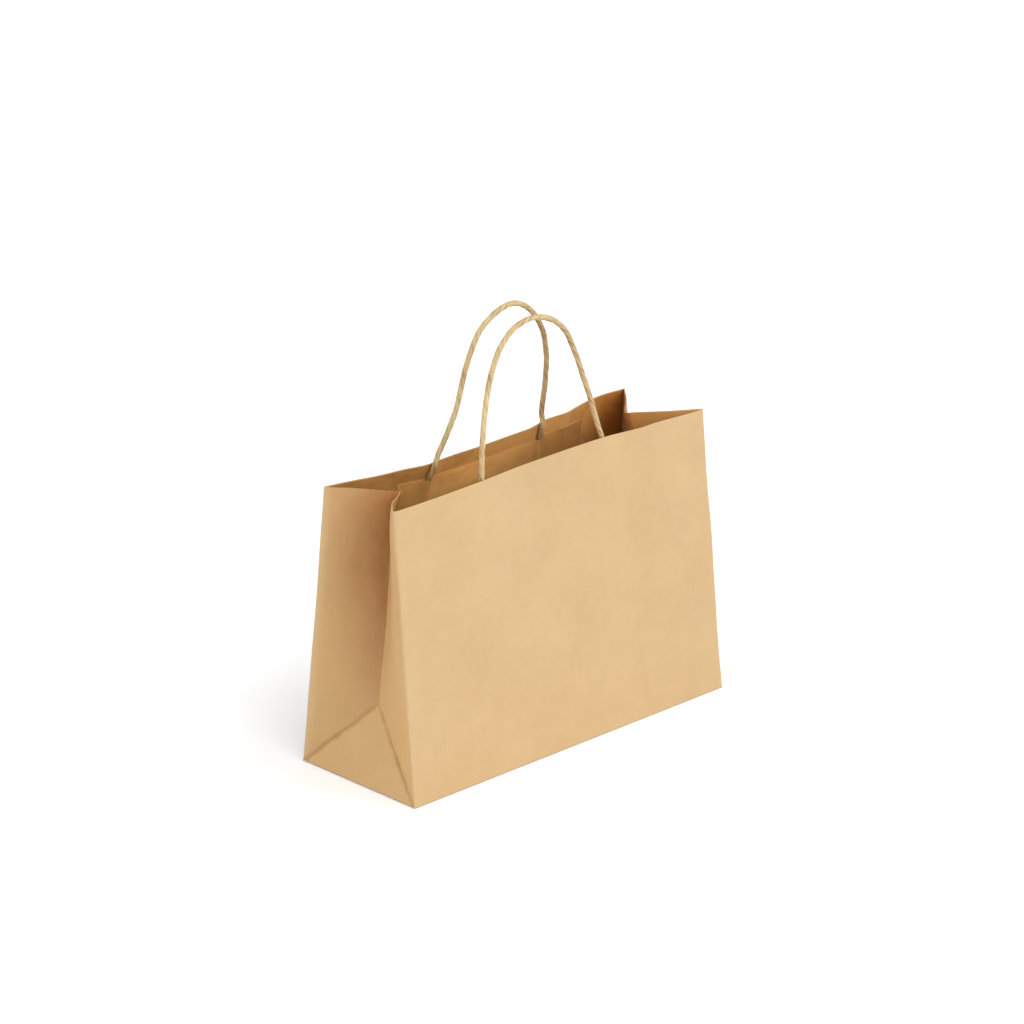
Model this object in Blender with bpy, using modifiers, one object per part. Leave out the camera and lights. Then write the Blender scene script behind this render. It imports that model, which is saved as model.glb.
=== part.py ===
"""Kraft paper gift bag with two twisted-paper cord handles.

The bag is one folded sheet, split here along its creases so that each panel is a solid of its own.
The origin is the centre of the base on the ground. +X runs along the wide side, the front panel faces -Y
and +Z is up. Everything is in metres, in the half-open shape in which the bag stands by itself: the
mouth is narrower than the base, and both side gussets are folded in.
"""

import math

import bmesh
import bpy
from mathutils import Matrix, Vector

# Bag
WIDTH = 0.320
DEPTH = 0.120
HEIGHT = 0.220  # of a panel, measured along the paper
CORNER_LEAN = 0.022  # how far a top corner stands inside the base
APEX_INSET = 0.022  # the gusset's lower fold point, in from the side
CREASE_INSET_TOP = 0.041  # the gusset's centre crease at the rim, in from the side
PAPER = 0.0002
GAP = 0.0003  # between sheets that lie on each other
CREASE = 0.0005  # clearance of each sheet from a crease that it turns on
LAYER = PAPER + GAP

# The soft rim between the corners: (x, distance further in than at the corners)
FRONT_BOW = ((-0.160, 0.0), (-0.118, -0.0035), (-0.076, -0.005), (-0.034, -0.0005), (0.010, 0.0030),
             (0.055, 0.0055), (0.094, 0.0042), (0.130, 0.0018), (0.160, 0.0))
BACK_BOW = ((-0.160, 0.0), (-0.115, 0.0130), (-0.068, 0.0185), (-0.018, 0.0168), (0.025, 0.0120),
            (0.056, 0.0070), (0.100, 0.0042), (0.130, 0.0018), (0.160, 0.0))

# Turned-in top hem and glued seam
HEM_HEIGHT = 0.038
HEM_END = 0.004  # from the corner crease, so that two hems don't meet in the fold
SEAM_WIDTH = 0.018

# Base flaps
FLAP_DEPTH = 0.075
END_FLAP_LENGTH = 0.064
FLAP_MARGIN = 0.0012

# Handles: each cord is held between two strips of paper on the inside of its panel
CORD_RADIUS = 0.0020
PRESSED_RADIUS = 0.0016  # inside the patch
PATCH_CENTRE_X = 0.003
PATCH_LENGTH = 0.200
PATCH_HEIGHT = 0.050
PATCH_BELOW_RIM = 0.011
CORD_OVERLAP = 0.044  # how deep a cord end reaches into the patch
HUMP_HALF_WIDTH = 0.006
PIVOT_ABOVE_RIM = 0.008  # a handle bends just above the rim
END_BELOW_PIVOT = 0.00535  # of the centre of a cord end's round tip
CORD_DEPTH = 2 * LAYER + PAPER / 2 + GAP + PRESSED_RADIUS  # cord centre to panel centre
COVER_DEPTH = 3 * LAYER

# A foot of a cord: its x in the patch, at the rim and at its pivot
FRONT_FEET = ((-0.0750, -0.0734, -0.0724), (0.0605, 0.0580, 0.0557))
BACK_FEET = ((-0.0732, -0.0690, -0.0638), (0.0505, 0.0532, 0.0523))

# The loops, in their own plane: (along the line between the pivots from its middle, rise above it)
FRONT_LOOP_LEAN = math.radians(6)
FRONT_ROUTE = ((-0.0613, 0.018), (-0.0562, 0.039), (-0.0486, 0.060), (-0.0366, 0.0798), (-0.0200, 0.0912),
               (-0.0022, 0.0953), (0.0132, 0.0932), (0.0250, 0.0878), (0.0348, 0.0800), (0.0414, 0.0710),
               (0.0495, 0.0500), (0.0584, 0.0225))
BACK_LOOP_LEAN = math.radians(11)
BACK_ROUTE = ((-0.0513, 0.0113), (-0.0457, 0.0290), (-0.0423, 0.0430), (-0.0394, 0.0630), (-0.0316, 0.0868),
              (-0.0180, 0.0978), (-0.0020, 0.1026), (0.0090, 0.1015), (0.0202, 0.0963), (0.0340, 0.0850),
              (0.0465, 0.0688), (0.0535, 0.0485), (0.0559, 0.0270), (0.0572, 0.0110))
LOOP_POINTS = 56

KRAFT = ("kraft_paper", (0.58, 0.39, 0.20, 1), 0.85)
KRAFT_PATCH = ("kraft_patch_paper", (0.54, 0.36, 0.18, 1), 0.85)
CORD_PAPER = ("twisted_paper_cord", (0.58, 0.42, 0.23, 1), 0.8)


def clear_scene():
    for obj in list(bpy.data.objects):
        bpy.data.objects.remove(obj)


def material(spec):
    name, colour, roughness = spec
    made = bpy.data.materials.get(name) or bpy.data.materials.new(name)
    made.use_nodes = True
    shader = made.node_tree.nodes["Principled BSDF"]
    shader.inputs["Base Color"].default_value = colour
    shader.inputs["Roughness"].default_value = roughness
    shader.inputs["Metallic"].default_value = 0
    return made


def add(name, data, spec, body, matrix=None):
    """Links a piece, gives it its paper and fixes it to the empty that stands on its body's crease."""
    piece = bpy.data.objects.new(name, data)
    PARTS.objects.link(piece)
    data.materials.append(material(spec))
    piece.parent = body
    piece.matrix_parent_inverse = body.matrix_world.inverted()
    piece.matrix_world = matrix or Matrix.Identity(4)
    return piece


def crease_empty(name, origin, axis, parent=None):
    """An empty whose X axis lies on the crease that its body turns on."""
    empty = bpy.data.objects.new(name, None)
    PARTS.objects.link(empty)
    empty.parent = parent
    turn = Vector(axis).to_track_quat("X", "Z").to_matrix().to_4x4()
    world = Matrix.Translation(origin) @ turn
    if parent:
        empty.matrix_parent_inverse = parent.matrix_world.inverted()
    empty.matrix_world = world
    bpy.context.view_layer.update()
    return empty


def through(points, at):
    """The smooth curve through (x, value) points, read at one x."""
    for i in range(len(points) - 1):
        (x0, v0), (x1, v1) = points[i], points[i + 1]
        if at <= x1 or i == len(points) - 2:
            break
    before, after = points[max(i - 1, 0)], points[min(i + 2, len(points) - 1)]
    slope0 = (v1 - before[1]) / (x1 - before[0])
    slope1 = (after[1] - v0) / (after[0] - x0)
    step = x1 - x0
    t = (at - x0) / step
    return (v0 * (2 * t ** 3 - 3 * t ** 2 + 1) + v1 * (3 * t ** 2 - 2 * t ** 3)
            + step * (slope0 * (t ** 3 - 2 * t ** 2 + t) + slope1 * (t ** 3 - t ** 2)))


def on_panel(side, x, up, depth=0.0):
    """A point of a panel's sheet: up along the paper, depth towards the inside. Side is -1 front, +1 back."""
    bow = through(FRONT_BOW if side < 0 else BACK_BOW, x)
    slope = (CORNER_LEAN + bow) / HEIGHT
    rise = math.sqrt(1 - slope ** 2)
    return Vector((x, side * (DEPTH / 2 - up * slope - depth * rise), up * rise - depth * slope))


def panel_sheet(name, side, xs, ups, depth_at, columns, rows, spec, body):
    """A sheet that follows a panel, from a grid and a Solidify. depth_at gives its depth at each x."""
    bm = bmesh.new()
    bmesh.ops.create_grid(bm, x_segments=columns, y_segments=rows, size=0.5)
    for vert in bm.verts:
        x = xs[0] + (vert.co.x + 0.5) * (xs[1] - xs[0])
        up = ups[0] + (vert.co.y + 0.5) * (ups[1] - ups[0])
        vert.co = on_panel(side, x, up, depth_at(x))
    if side > 0:
        bmesh.ops.reverse_faces(bm, faces=bm.faces)
    mesh = bpy.data.meshes.new(name)
    bm.to_mesh(mesh)
    bm.free()
    piece = add(name, mesh, spec, body)
    thicken = piece.modifiers.new("paper", "SOLIDIFY")
    thicken.thickness = PAPER
    thicken.offset = 0
    return piece


def inset(outline, margins):
    """A convex outline with each edge moved inwards by its own margin."""
    count = len(outline)
    middle = sum(outline, Vector((0, 0))) / count
    lines = []
    for i, start in enumerate(outline):
        along = (outline[(i + 1) % count] - start).normalized()
        inwards = Vector((-along.y, along.x))
        if inwards.dot(middle - start) < 0:
            inwards = -inwards
        lines.append((start + inwards * margins[i], along))
    corners = []
    for i, (start, along) in enumerate(lines):
        before, before_along = lines[i - 1]
        cross = before_along.cross(along)
        corners.append(before + before_along * ((start - before).cross(along) / cross))
    return corners


def facet(name, corners, margins, spec, body, depth=0.0, inside=None):
    """A flat sheet between corners in space, cut back from each edge, as a filled outline with thickness."""
    origin = Vector(corners[0])
    along = (Vector(corners[1]) - origin).normalized()
    normal = along.cross(Vector(corners[-1]) - origin).normalized()
    if inside is not None and normal.dot(Vector(inside) - origin) < 0:
        normal = -normal
    across = normal.cross(along)
    frame = Matrix((along, across, normal)).transposed().to_4x4()
    frame.translation = origin + normal * depth
    flat = [Vector(((Vector(c) - origin).dot(along), (Vector(c) - origin).dot(across))) for c in corners]
    curve = bpy.data.curves.new(name, "CURVE")
    curve.dimensions = "2D"
    curve.fill_mode = "BOTH"
    curve.extrude = PAPER / 2
    spline = curve.splines.new("POLY")
    outline = inset(flat, margins)
    spline.points.add(len(outline) - 1)
    for point, corner in zip(spline.points, outline):
        point.co = (corner.x, corner.y, 0, 1)
    spline.use_cyclic_u = True
    return add(name, curve, spec, body, frame)


def cord(name, points, radii, spec, body):
    """A round cord through points, as a bevelled curve with closed ends."""
    curve = bpy.data.curves.new(name, "CURVE")
    curve.dimensions = "3D"
    curve.bevel_depth = CORD_RADIUS
    curve.bevel_resolution = 2
    curve.use_fill_caps = True
    spline = curve.splines.new("POLY")
    spline.points.add(len(points) - 1)
    for point, place, radius in zip(spline.points, points, radii):
        point.co = (*place, 1)
        point.radius = radius / CORD_RADIUS
    return add(name, curve, spec, body)


def round_tip(centre, outwards, radius=CORD_RADIUS, steps=4):
    """Points and radii of a cord's rounded end, from its tip to the centre of the rounding."""
    places, radii = [], []
    for i in range(steps + 1):
        angle = math.radians(82) * (1 - i / steps)
        places.append(centre + outwards * radius * math.sin(angle))
        radii.append(radius * math.cos(angle))
    return places, radii


def smooth_route(route, count):
    """Evenly read points of the smooth curve through a route's points."""
    along = [0.0]
    for a, b in zip(route, route[1:]):
        along.append(along[-1] + (b - a).length)
    axes = [[(s, p[k]) for s, p in zip(along, route)] for k in range(3)]
    return [Vector([through(axis, along[-1] * i / (count - 1)) for axis in axes]) for i in range(count)]


def base():
    """The folded and glued block bottom: two end flaps inside, two long flaps that overlap outside."""
    body = crease_empty("base", (0, 0, 0), (1, 0, 0))
    half_x, half_y = WIDTH / 2, DEPTH / 2
    margins = (FLAP_MARGIN, CREASE, CREASE, CREASE)
    for side, name, level in ((-1, "bottom_front_flap", 0), (1, "bottom_rear_flap", 1)):
        z = PAPER / 2 + level * LAYER
        free = side * (half_y - FLAP_DEPTH)
        corners = [(-half_x, side * half_y, z), (half_x, side * half_y, z),
                   (half_x - FLAP_DEPTH, free, z), (FLAP_DEPTH - half_x, free, z)]
        facet(name, corners, margins, KRAFT, body)
    z = PAPER / 2 + 2 * LAYER
    for side, name in ((-1, "bottom_end_flap_left"), (1, "bottom_end_flap_right")):
        free = side * (half_x - END_FLAP_LENGTH)
        corners = [(side * half_x, -half_y, z), (side * half_x, half_y, z), (free, half_y, z), (free, -half_y, z)]
        facet(name, corners, (FLAP_MARGIN,) * 4, KRAFT, body)
    return body


def panel(side, name, body):
    """One wide panel with its hem."""
    reach = WIDTH / 2
    panel_sheet(f"{name}_panel", side, (CREASE - reach, reach - CREASE), (CREASE, HEIGHT),
                lambda x: 0.0, 32, 4, KRAFT, body)
    panel_sheet(f"{name}_top_hem", side, (HEM_END - reach, reach - HEM_END), (HEIGHT - HEM_HEIGHT, HEIGHT - CREASE),
                lambda x: LAYER, 32, 1, KRAFT, body)


def seam(body):
    """The tab that closes the sheet into a tube, glued inside the back panel under the hem."""
    edge = WIDTH / 2 - HEM_END
    panel_sheet("side_seam_tab", 1, (edge - SEAM_WIDTH, edge), (HEM_END, HEIGHT - HEM_HEIGHT - GAP),
                lambda x: LAYER, 4, 4, KRAFT, body)


def gusset(side_x, side_y, name, panel_body):
    """Half a side gusset. The paper flexes along the line from the lower fold point to the top corner, so it
    is two facets: the lower one turns on the corner crease, and the upper one on that flex line."""
    foot = Vector((side_x * WIDTH / 2, side_y * DEPTH / 2, 0))
    corner = on_panel(side_y, side_x * WIDTH / 2, HEIGHT)
    apex, top = gusset_apex(side_x), gusset_top(side_x)
    centre = Vector((0, 0, HEIGHT / 2))
    lower = crease_empty(f"{name}_corner_crease", foot, corner - foot, panel_body)
    facet(f"{name}_lower", [foot, corner, apex], (CREASE,) * 3, KRAFT, lower, inside=centre)
    upper = crease_empty(f"{name}_flex_line", apex, corner - apex, lower)
    facet(f"{name}_upper", [apex, corner, top], (CREASE,) * 3, KRAFT, upper, inside=centre)
    reach = HEM_HEIGHT / (top - apex).length
    hem = [top, corner, corner.lerp(apex, reach), top.lerp(apex, reach)]
    facet(f"{name}_hem", hem, (CREASE, HEM_END, CREASE, 2 * CREASE), KRAFT, upper, LAYER, centre)


def gusset_apex(side_x):
    rise = math.sqrt((DEPTH / 2) ** 2 - APEX_INSET ** 2)
    return Vector((side_x * (WIDTH / 2 - APEX_INSET), 0, rise))


def gusset_top(side_x):
    apex = gusset_apex(side_x)
    further_in = CREASE_INSET_TOP - APEX_INSET
    rise = math.sqrt((HEIGHT - DEPTH / 2) ** 2 - further_in ** 2)
    return apex + Vector((-side_x * further_in, 0, rise))


def corner_fold(side_x, name):
    """The triangle at the foot of a gusset, folded in with it."""
    x = side_x * WIDTH / 2
    body = crease_empty(f"{name}_crease", (x, 0, 0), (0, 1, 0))
    corners = [(x, -DEPTH / 2, 0), (x, DEPTH / 2, 0), gusset_apex(side_x)]
    facet(name, corners, (FLAP_MARGIN, CREASE, CREASE), KRAFT, body)


def handle(side, name, feet, lean, route, body):
    """A loop of cord on its pivot above the rim, and the two cord ends and paper strips that hold it."""
    hidden, above = HEIGHT - PATCH_BELOW_RIM - CORD_OVERLAP, HEIGHT + PIVOT_ABOVE_RIM
    pivots = [on_panel(side, pivot_x, above, CORD_DEPTH) for patch_x, rim_x, pivot_x in feet]
    for (patch_x, rim_x, pivot_x), pivot, end in zip(feet, pivots, ("left", "right")):
        free = HEIGHT - PATCH_BELOW_RIM
        past = 2 * CORD_RADIUS
        past_x = patch_x + (rim_x - patch_x) * past / PATCH_BELOW_RIM
        places = ((patch_x, hidden), (patch_x, free), (past_x, free + past), (rim_x, HEIGHT))
        line = [on_panel(side, x, up, CORD_DEPTH) for x, up in places]
        rise = (pivot - line[-1]).normalized()
        tip, radii = round_tip(pivot - rise * END_BELOW_PIVOT, rise)
        cord(f"{name}_cord_end_{end}", line + tip[::-1],
             [PRESSED_RADIUS] * 2 + [CORD_RADIUS] * 2 + radii[::-1], CORD_PAPER, body)

    patch = (PATCH_CENTRE_X - PATCH_LENGTH / 2, PATCH_CENTRE_X + PATCH_LENGTH / 2)
    heights = (HEIGHT - PATCH_BELOW_RIM - PATCH_HEIGHT, HEIGHT - PATCH_BELOW_RIM)
    panel_sheet(f"{name}_handle_patch_base", side, patch, heights, lambda x: 2 * LAYER, 24, 1, KRAFT_PATCH, body)

    def cover_depth(x):
        """Flat on the base strip, and humped over each cord end."""
        hump = 2 * PRESSED_RADIUS + LAYER
        near = min(abs(x - patch_x) for patch_x, rim_x, pivot_x in feet)
        if near > HUMP_HALF_WIDTH:
            return COVER_DEPTH
        return COVER_DEPTH + hump * (0.5 + 0.5 * math.cos(math.pi * near / HUMP_HALF_WIDTH))

    panel_sheet(f"{name}_handle_patch_cover", side, patch, heights, cover_depth, 96, 1, KRAFT_PATCH, body)

    swing = crease_empty(f"{name}_handle_pivot", (pivots[0] + pivots[1]) / 2, pivots[1] - pivots[0], body)
    along = (pivots[1] - pivots[0]).normalized()
    inwards = Vector((0, 0, 1)).cross(along) * -side
    rise = inwards * math.sin(lean) + Vector((0, 0, 1)) * math.cos(lean)
    middle = (pivots[0] + pivots[1]) / 2
    placed = [pivots[0]] + [middle + along * a + rise * r for a, r in route] + [pivots[1]]
    line = smooth_route(placed, LOOP_POINTS)
    first, first_radii = round_tip(line[0], (line[0] - line[1]).normalized())
    last, last_radii = round_tip(line[-1], (line[-1] - line[-2]).normalized())
    cord(f"{name}_handle_loop", first + line[1:-1] + last[::-1],
         first_radii + [CORD_RADIUS] * (LOOP_POINTS - 2) + last_radii[::-1], CORD_PAPER, swing)


def build():
    base()
    fronts = {-1: crease_empty("front_panel_crease", (0, -DEPTH / 2, 0), (1, 0, 0)),
              1: crease_empty("back_panel_crease", (0, DEPTH / 2, 0), (1, 0, 0))}
    for side, name in ((-1, "front"), (1, "back")):
        panel(side, name, fronts[side])
    seam(fronts[1])
    for side_x, left_or_right in ((-1, "left"), (1, "right")):
        corner_fold(side_x, f"{left_or_right}_gusset_foot")
        for side_y, front_or_rear in ((-1, "front"), (1, "rear")):
            gusset(side_x, side_y, f"{left_or_right}_gusset_{front_or_rear}", fronts[side_y])
    handle(-1, "front", FRONT_FEET, FRONT_LOOP_LEAN, FRONT_ROUTE, fronts[-1])
    handle(1, "back", BACK_FEET, BACK_LOOP_LEAN, BACK_ROUTE, fronts[1])


clear_scene()
PARTS = bpy.data.collections.new("gift_bag")
bpy.context.scene.collection.children.link(PARTS)
build()
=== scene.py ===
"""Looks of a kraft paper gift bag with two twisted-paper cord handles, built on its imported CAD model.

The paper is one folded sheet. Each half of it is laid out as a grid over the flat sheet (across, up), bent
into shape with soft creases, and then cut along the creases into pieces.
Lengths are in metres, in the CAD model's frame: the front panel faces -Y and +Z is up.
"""

import math

import bpy
import numpy as np
from mathutils import Matrix, Vector, noise


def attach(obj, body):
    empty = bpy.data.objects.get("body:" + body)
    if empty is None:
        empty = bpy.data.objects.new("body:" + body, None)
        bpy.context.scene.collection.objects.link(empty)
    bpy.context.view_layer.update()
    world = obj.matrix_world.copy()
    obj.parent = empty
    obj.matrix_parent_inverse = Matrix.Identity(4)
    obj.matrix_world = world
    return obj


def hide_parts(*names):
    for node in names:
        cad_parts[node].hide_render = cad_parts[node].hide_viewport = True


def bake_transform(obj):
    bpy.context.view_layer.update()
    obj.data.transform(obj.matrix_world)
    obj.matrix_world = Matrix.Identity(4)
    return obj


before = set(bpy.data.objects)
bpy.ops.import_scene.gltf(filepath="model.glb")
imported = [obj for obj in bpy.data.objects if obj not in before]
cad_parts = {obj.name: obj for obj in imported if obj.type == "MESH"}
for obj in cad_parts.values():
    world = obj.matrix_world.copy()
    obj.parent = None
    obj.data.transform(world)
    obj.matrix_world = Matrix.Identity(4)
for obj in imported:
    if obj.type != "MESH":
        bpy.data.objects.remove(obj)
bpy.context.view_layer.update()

STRAIGHT_UP = Vector((0, 0, 1))

# The bag, as in the CAD model
WIDTH = 0.320
DEPTH = 0.120
HEIGHT = 0.220
APEX_INSET = 0.022
HEM_HEIGHT = 0.038
FLAP_DEPTH = 0.075
END_FLAP_LENGTH = 0.064
PATCH = (-0.0953, 0.1068)  # its two ends
PATCH_HEIGHT = 0.050
PATCH_BELOW_RIM = 0.011
CORNER_LEAN = 0.022
FRONT_BOW = ((-0.160, 0.0), (-0.118, -0.0035), (-0.076, -0.005), (-0.034, -0.0005), (0.010, 0.0030),
             (0.055, 0.0055), (0.094, 0.0042), (0.130, 0.0018), (0.160, 0.0))
BACK_BOW = ((-0.160, 0.0), (-0.115, 0.0130), (-0.068, 0.0185), (-0.018, 0.0168), (0.025, 0.0120),
            (0.056, 0.0070), (0.100, 0.0042), (0.130, 0.0018), (0.160, 0.0))
CORD_RADIUS = 0.0020
CORD_DEPTH = 0.0030
PRESSED_DEPTH = 0.0025
HIDDEN_CORD = 0.044
PIVOT_ABOVE_RIM = 0.008
# A foot of a cord: its x in the patch, at the rim and at its pivot
FRONT_FEET = ((-0.0750, -0.0734, -0.0724), (0.0605, 0.0580, 0.0557))
FRONT_LOOP_LEAN = math.radians(6)
FRONT_ROUTE = ((-0.0606, 0.018), (-0.0554, 0.0388), (-0.0476, 0.0595), (-0.0353, 0.0786), (-0.0195, 0.0901),
               (-0.0021, 0.0943), (0.0132, 0.0927), (0.0249, 0.0877), (0.0346, 0.0798), (0.0407, 0.0707),
               (0.0490, 0.0498), (0.0581, 0.0225))
BACK_FEET = ((-0.0712, -0.0672, -0.0630), (0.0485, 0.0508, 0.0515))
BACK_LOOP_LEAN = math.radians(11)
BACK_ROUTE = ((-0.0519, 0.0116), (-0.0457, 0.0290), (-0.0433, 0.0433), (-0.0407, 0.0633), (-0.0322, 0.0872),
              (-0.0182, 0.0982), (-0.0020, 0.1022), (0.0087, 0.1004), (0.0195, 0.0950), (0.0326, 0.0838),
              (0.0446, 0.0678), (0.0523, 0.0482), (0.0557, 0.0270), (0.0568, 0.0110))

# The paper
PAPER = 0.00025
LAYER = 0.00045  # between the middles of two sheets that lie on each other
# How far each rim leans inwards from above its panel's base: (x, distance)
FRONT_RIM = ((-0.160, 0.0154), (-0.136, 0.0159), (-0.107, 0.0164), (-0.076, 0.0167), (-0.034, 0.0217),
             (0.010, 0.0251), (0.055, 0.0275), (0.078, 0.0278), (0.094, 0.0262), (0.137, 0.0257),
             (0.160, 0.0251))
BACK_RIM = ((-0.160, 0.0325), (-0.147, 0.0338), (-0.130, 0.0360), (-0.113, 0.0382), (-0.090, 0.0390),
            (-0.068, 0.0402), (-0.036, 0.0387), (-0.0175, 0.0383), (0.006, 0.0368), (0.029, 0.0342),
            (0.056, 0.0312), (0.074, 0.0298), (0.099, 0.0269), (0.124, 0.0233), (0.154, 0.0196),
            (0.160, 0.0190))
# Small waves of the rims, which fade out below them: (x, further inwards)
BACK_WAVES = ((-0.160, -0.0017), (-0.147, -0.0019), (-0.130, -0.0014), (-0.113, -0.0009), (-0.090, 0.0003),
              (-0.080, 0.0018), (-0.068, 0.0027), (-0.055, 0.0013), (-0.036, 0.0011), (-0.0175, 0.0012),
              (0.006, 0.0012), (0.020, 0.0020), (0.029, 0.0030), (0.040, 0.0036), (0.050, 0.0022),
              (0.056, 0.0008), (0.064, -0.0008), (0.074, -0.0006), (0.086, 0.0005), (0.099, -0.0017),
              (0.110, -0.0033), (0.124, -0.0042), (0.140, -0.0035), (0.154, -0.0008), (0.160, 0.0))
# How much lower than straight the front rim hangs: (x, drop)
FRONT_SAG = ((-0.160, 0.0024), (-0.157, 0.0026), (-0.128, 0.0024), (-0.104, 0.0018), (-0.080, 0.0010),
             (-0.050, 0.0003), (-0.020, 0.0), (0.060, 0.0), (0.078, 0.0007), (0.095, 0.0009), (0.108, 0.0005),
             (0.130, 0.0010), (0.150, 0.0013), (0.160, 0.0008))
# A gusset's centre crease from its lower fold point to the rim: (z, inset from the side, y)
LEFT_CREASE = ((0.0558, 0.0220, 0.0), (0.0886, 0.0257, -0.0014), (0.1137, 0.0286, -0.0024),
               (0.1306, 0.0297, -0.0031), (0.1520, 0.0310, -0.0040), (0.1640, 0.0316, -0.0045),
               (0.1800, 0.0323, -0.0052), (0.1962, 0.0335, -0.0059), (0.2061, 0.0362, -0.0063),
               (0.2132, 0.0399, -0.0066))
RIGHT_CREASE = ((0.0558, 0.0220, 0.0), (0.1000, 0.0275, 0.0012), (0.1500, 0.0330, 0.0027),
                (0.1900, 0.0375, 0.0038), (0.2156, 0.0414, 0.0045))

# How far a rim moves along X as the mouth twists: in its middle, and how much further at its right end
RIM_SHIFT = {-1: (-0.0003, 0.0026), 1: (-0.0025, -0.0017)}
# How far a soft corner fold reaches to each side, low down and at the rim
CORNER_REACH = (0.0009, 0.0026)
FRONT_LEFT_CORNER_REACH = (0.0016, 0.0066)
CREASE_REACH = 0.0016  # the same for the centre crease
# The rear half's fold runs on behind the front half, by these shares of the crease's reach
LAP_REACHES = (2.1, 1.6, 1.2)
LAP_TURNS = (0.1, 0.3)
LAP_DEPTH = 0.0005
# How far a half gusset stands out from straight between its creases
GUSSET_SWELL = 0.0012
FRONT_LEFT_SWELL = 0.0022
# How far the paper's surface and the centre creases stray
UNEVENNESS = (0.00075, 0.00028, 0.00007)  # broad, medium and fine
CREASE_WANDER = (0.0012, 0.0006)  # broad and fine
# The folds at the base, and how high the flaps over the front one lie
FOLD_RADIUS = 0.0005
PANEL_START = 0.0012  # the lowest row of a panel above the fold of its base
REAR_FLAP_LEVEL = 0.0004
END_FLAP_LEVEL = 0.0008
END_FLAP_INSET = 0.0008
SEAM_INSET = 0.004
SEAM_WIDTH = 0.018
# The patch's cover stands up over each cord, and is a little crumpled between them
HUMP_HALF_WIDTH = 0.0065
HUMP_HEIGHT = 0.0034
CRUMPLE_HEIGHT = 0.00055
# Strips are placed elsewhere on the paper's pattern, so that they don't repeat what is beside them
BASE_SHIFT = 0.4
COVER_SHIFT = 0.7
SEAM_SHIFT = 1.1

# The cords
STRANDS = 3
TWIST_PITCH = 0.027
PRESSED_SHARE = 0.74  # how thick a cord is inside its patch

# How finely the grids are divided
PANEL_COLUMNS = 100
GUSSET_COLUMNS = 22
FOLD_STEPS = 6
FOOT_COLUMNS = 40
CORD_RINGS = 420
CORD_CORNERS = 36


def through(points, at):
    """The smooth curve through (x, value) points, read at one x."""
    for i in range(len(points) - 1):
        (x0, v0), (x1, v1) = points[i], points[i + 1]
        if at <= x1 or i == len(points) - 2:
            break
    before, after = points[max(i - 1, 0)], points[min(i + 2, len(points) - 1)]
    slope0 = (v1 - before[1]) / (x1 - before[0])
    slope1 = (after[1] - v0) / (after[0] - x0)
    step = x1 - x0
    t = (at - x0) / step
    return (v0 * (2 * t ** 3 - 3 * t ** 2 + 1) + v1 * (3 * t ** 2 - 2 * t ** 3)
            + step * (slope0 * (t ** 3 - 2 * t ** 2 + t) + slope1 * (t ** 3 - t ** 2)))


def ease(t):
    """A soft step from 0 to 1."""
    t = min(max(t, 0.0), 1.0)
    return t * t * (3 - 2 * t)


def new_object(name, data):
    """An object with this data, placed in the scene."""
    made = bpy.data.objects.new(name, data)
    bpy.context.scene.collection.objects.link(made)
    return made


# ---------------------------------------------------------------- camera

def make_camera():
    """Looks at the bag from beyond its front left corner, a little from above."""
    azimuth, elevation, roll = (math.radians(a) for a in (-44.015, 19.086, -0.361))
    back = Vector((math.sin(azimuth) * math.cos(elevation), -math.cos(azimuth) * math.cos(elevation),
                   math.sin(elevation)))
    right = Vector((math.cos(azimuth), math.sin(azimuth), 0))
    up = back.cross(right)
    data = bpy.data.cameras.new("camera")
    data.angle = math.radians(18)
    data.clip_start = 0.05
    camera = new_object("camera", data)
    across = right * math.cos(roll) + up * math.sin(roll)
    upright = -right * math.sin(roll) + up * math.cos(roll)
    camera.matrix_world = Matrix((across, upright, back)).transposed().to_4x4()
    camera.matrix_world.translation = back * 2.4159 - right * 0.003584 + up * 0.157938
    bpy.context.scene.camera = camera


# ---------------------------------------------------------------- materials

class Nodes:
    """A short way to write a node tree."""

    def __init__(self, material):
        self.tree = material.node_tree
        self.shader = self.tree.nodes["Principled BSDF"]

    def add(self, kind, settings=None, **sockets):
        node = self.tree.nodes.new("ShaderNode" + kind)
        for name, value in (settings or {}).items():
            setattr(node, name, value)
        for name, value in sockets.items():
            self.set(node.inputs[name], value)
        return node

    def set(self, socket, value):
        if isinstance(value, bpy.types.NodeSocket):
            self.tree.links.new(value, socket)
        else:
            socket.default_value = value

    def math(self, operation, a, b=0.0, clamp=False):
        node = self.add("Math", {"operation": operation, "use_clamp": clamp})
        self.set(node.inputs[0], a)
        self.set(node.inputs[1], b)
        return node.outputs[0]

    def times(self, first, *others):
        for other in others:
            first = self.math("MULTIPLY", first, other)
        return first

    def total(self, *parts):
        """The sum of (value, weight) parts."""
        result = self.times(*parts[0])
        for part in parts[1:]:
            result = self.math("ADD", result, self.times(*part))
        return result

    def noise(self, vector, scale, detail=2.0, roughness=0.5, distortion=0.0):
        node = self.add("TexNoise", Vector=vector, Scale=scale, Detail=detail, Roughness=roughness,
                        Distortion=distortion)
        return node.outputs[0]

    def stretch(self, vector, scale):
        node = self.add("Mapping", Vector=vector, Scale=scale)
        return node.outputs[0]

    def ramp(self, value, *stops):
        node = self.add("ValToRGB", Fac=value)
        elements = node.color_ramp.elements
        while len(elements) < len(stops):
            elements.new(0.5)
        for element, (place, colour) in zip(elements, stops):
            element.position = place
            element.color = colour
        return node.outputs[0]

    def mix(self, blend_type, amount, a, b):
        node = self.add("Mix", {"data_type": "RGBA", "blend_type": blend_type})
        self.set(node.inputs[0], amount)
        self.set(node.inputs[6], a)
        self.set(node.inputs[7], b)
        return node.outputs[2]
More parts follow.
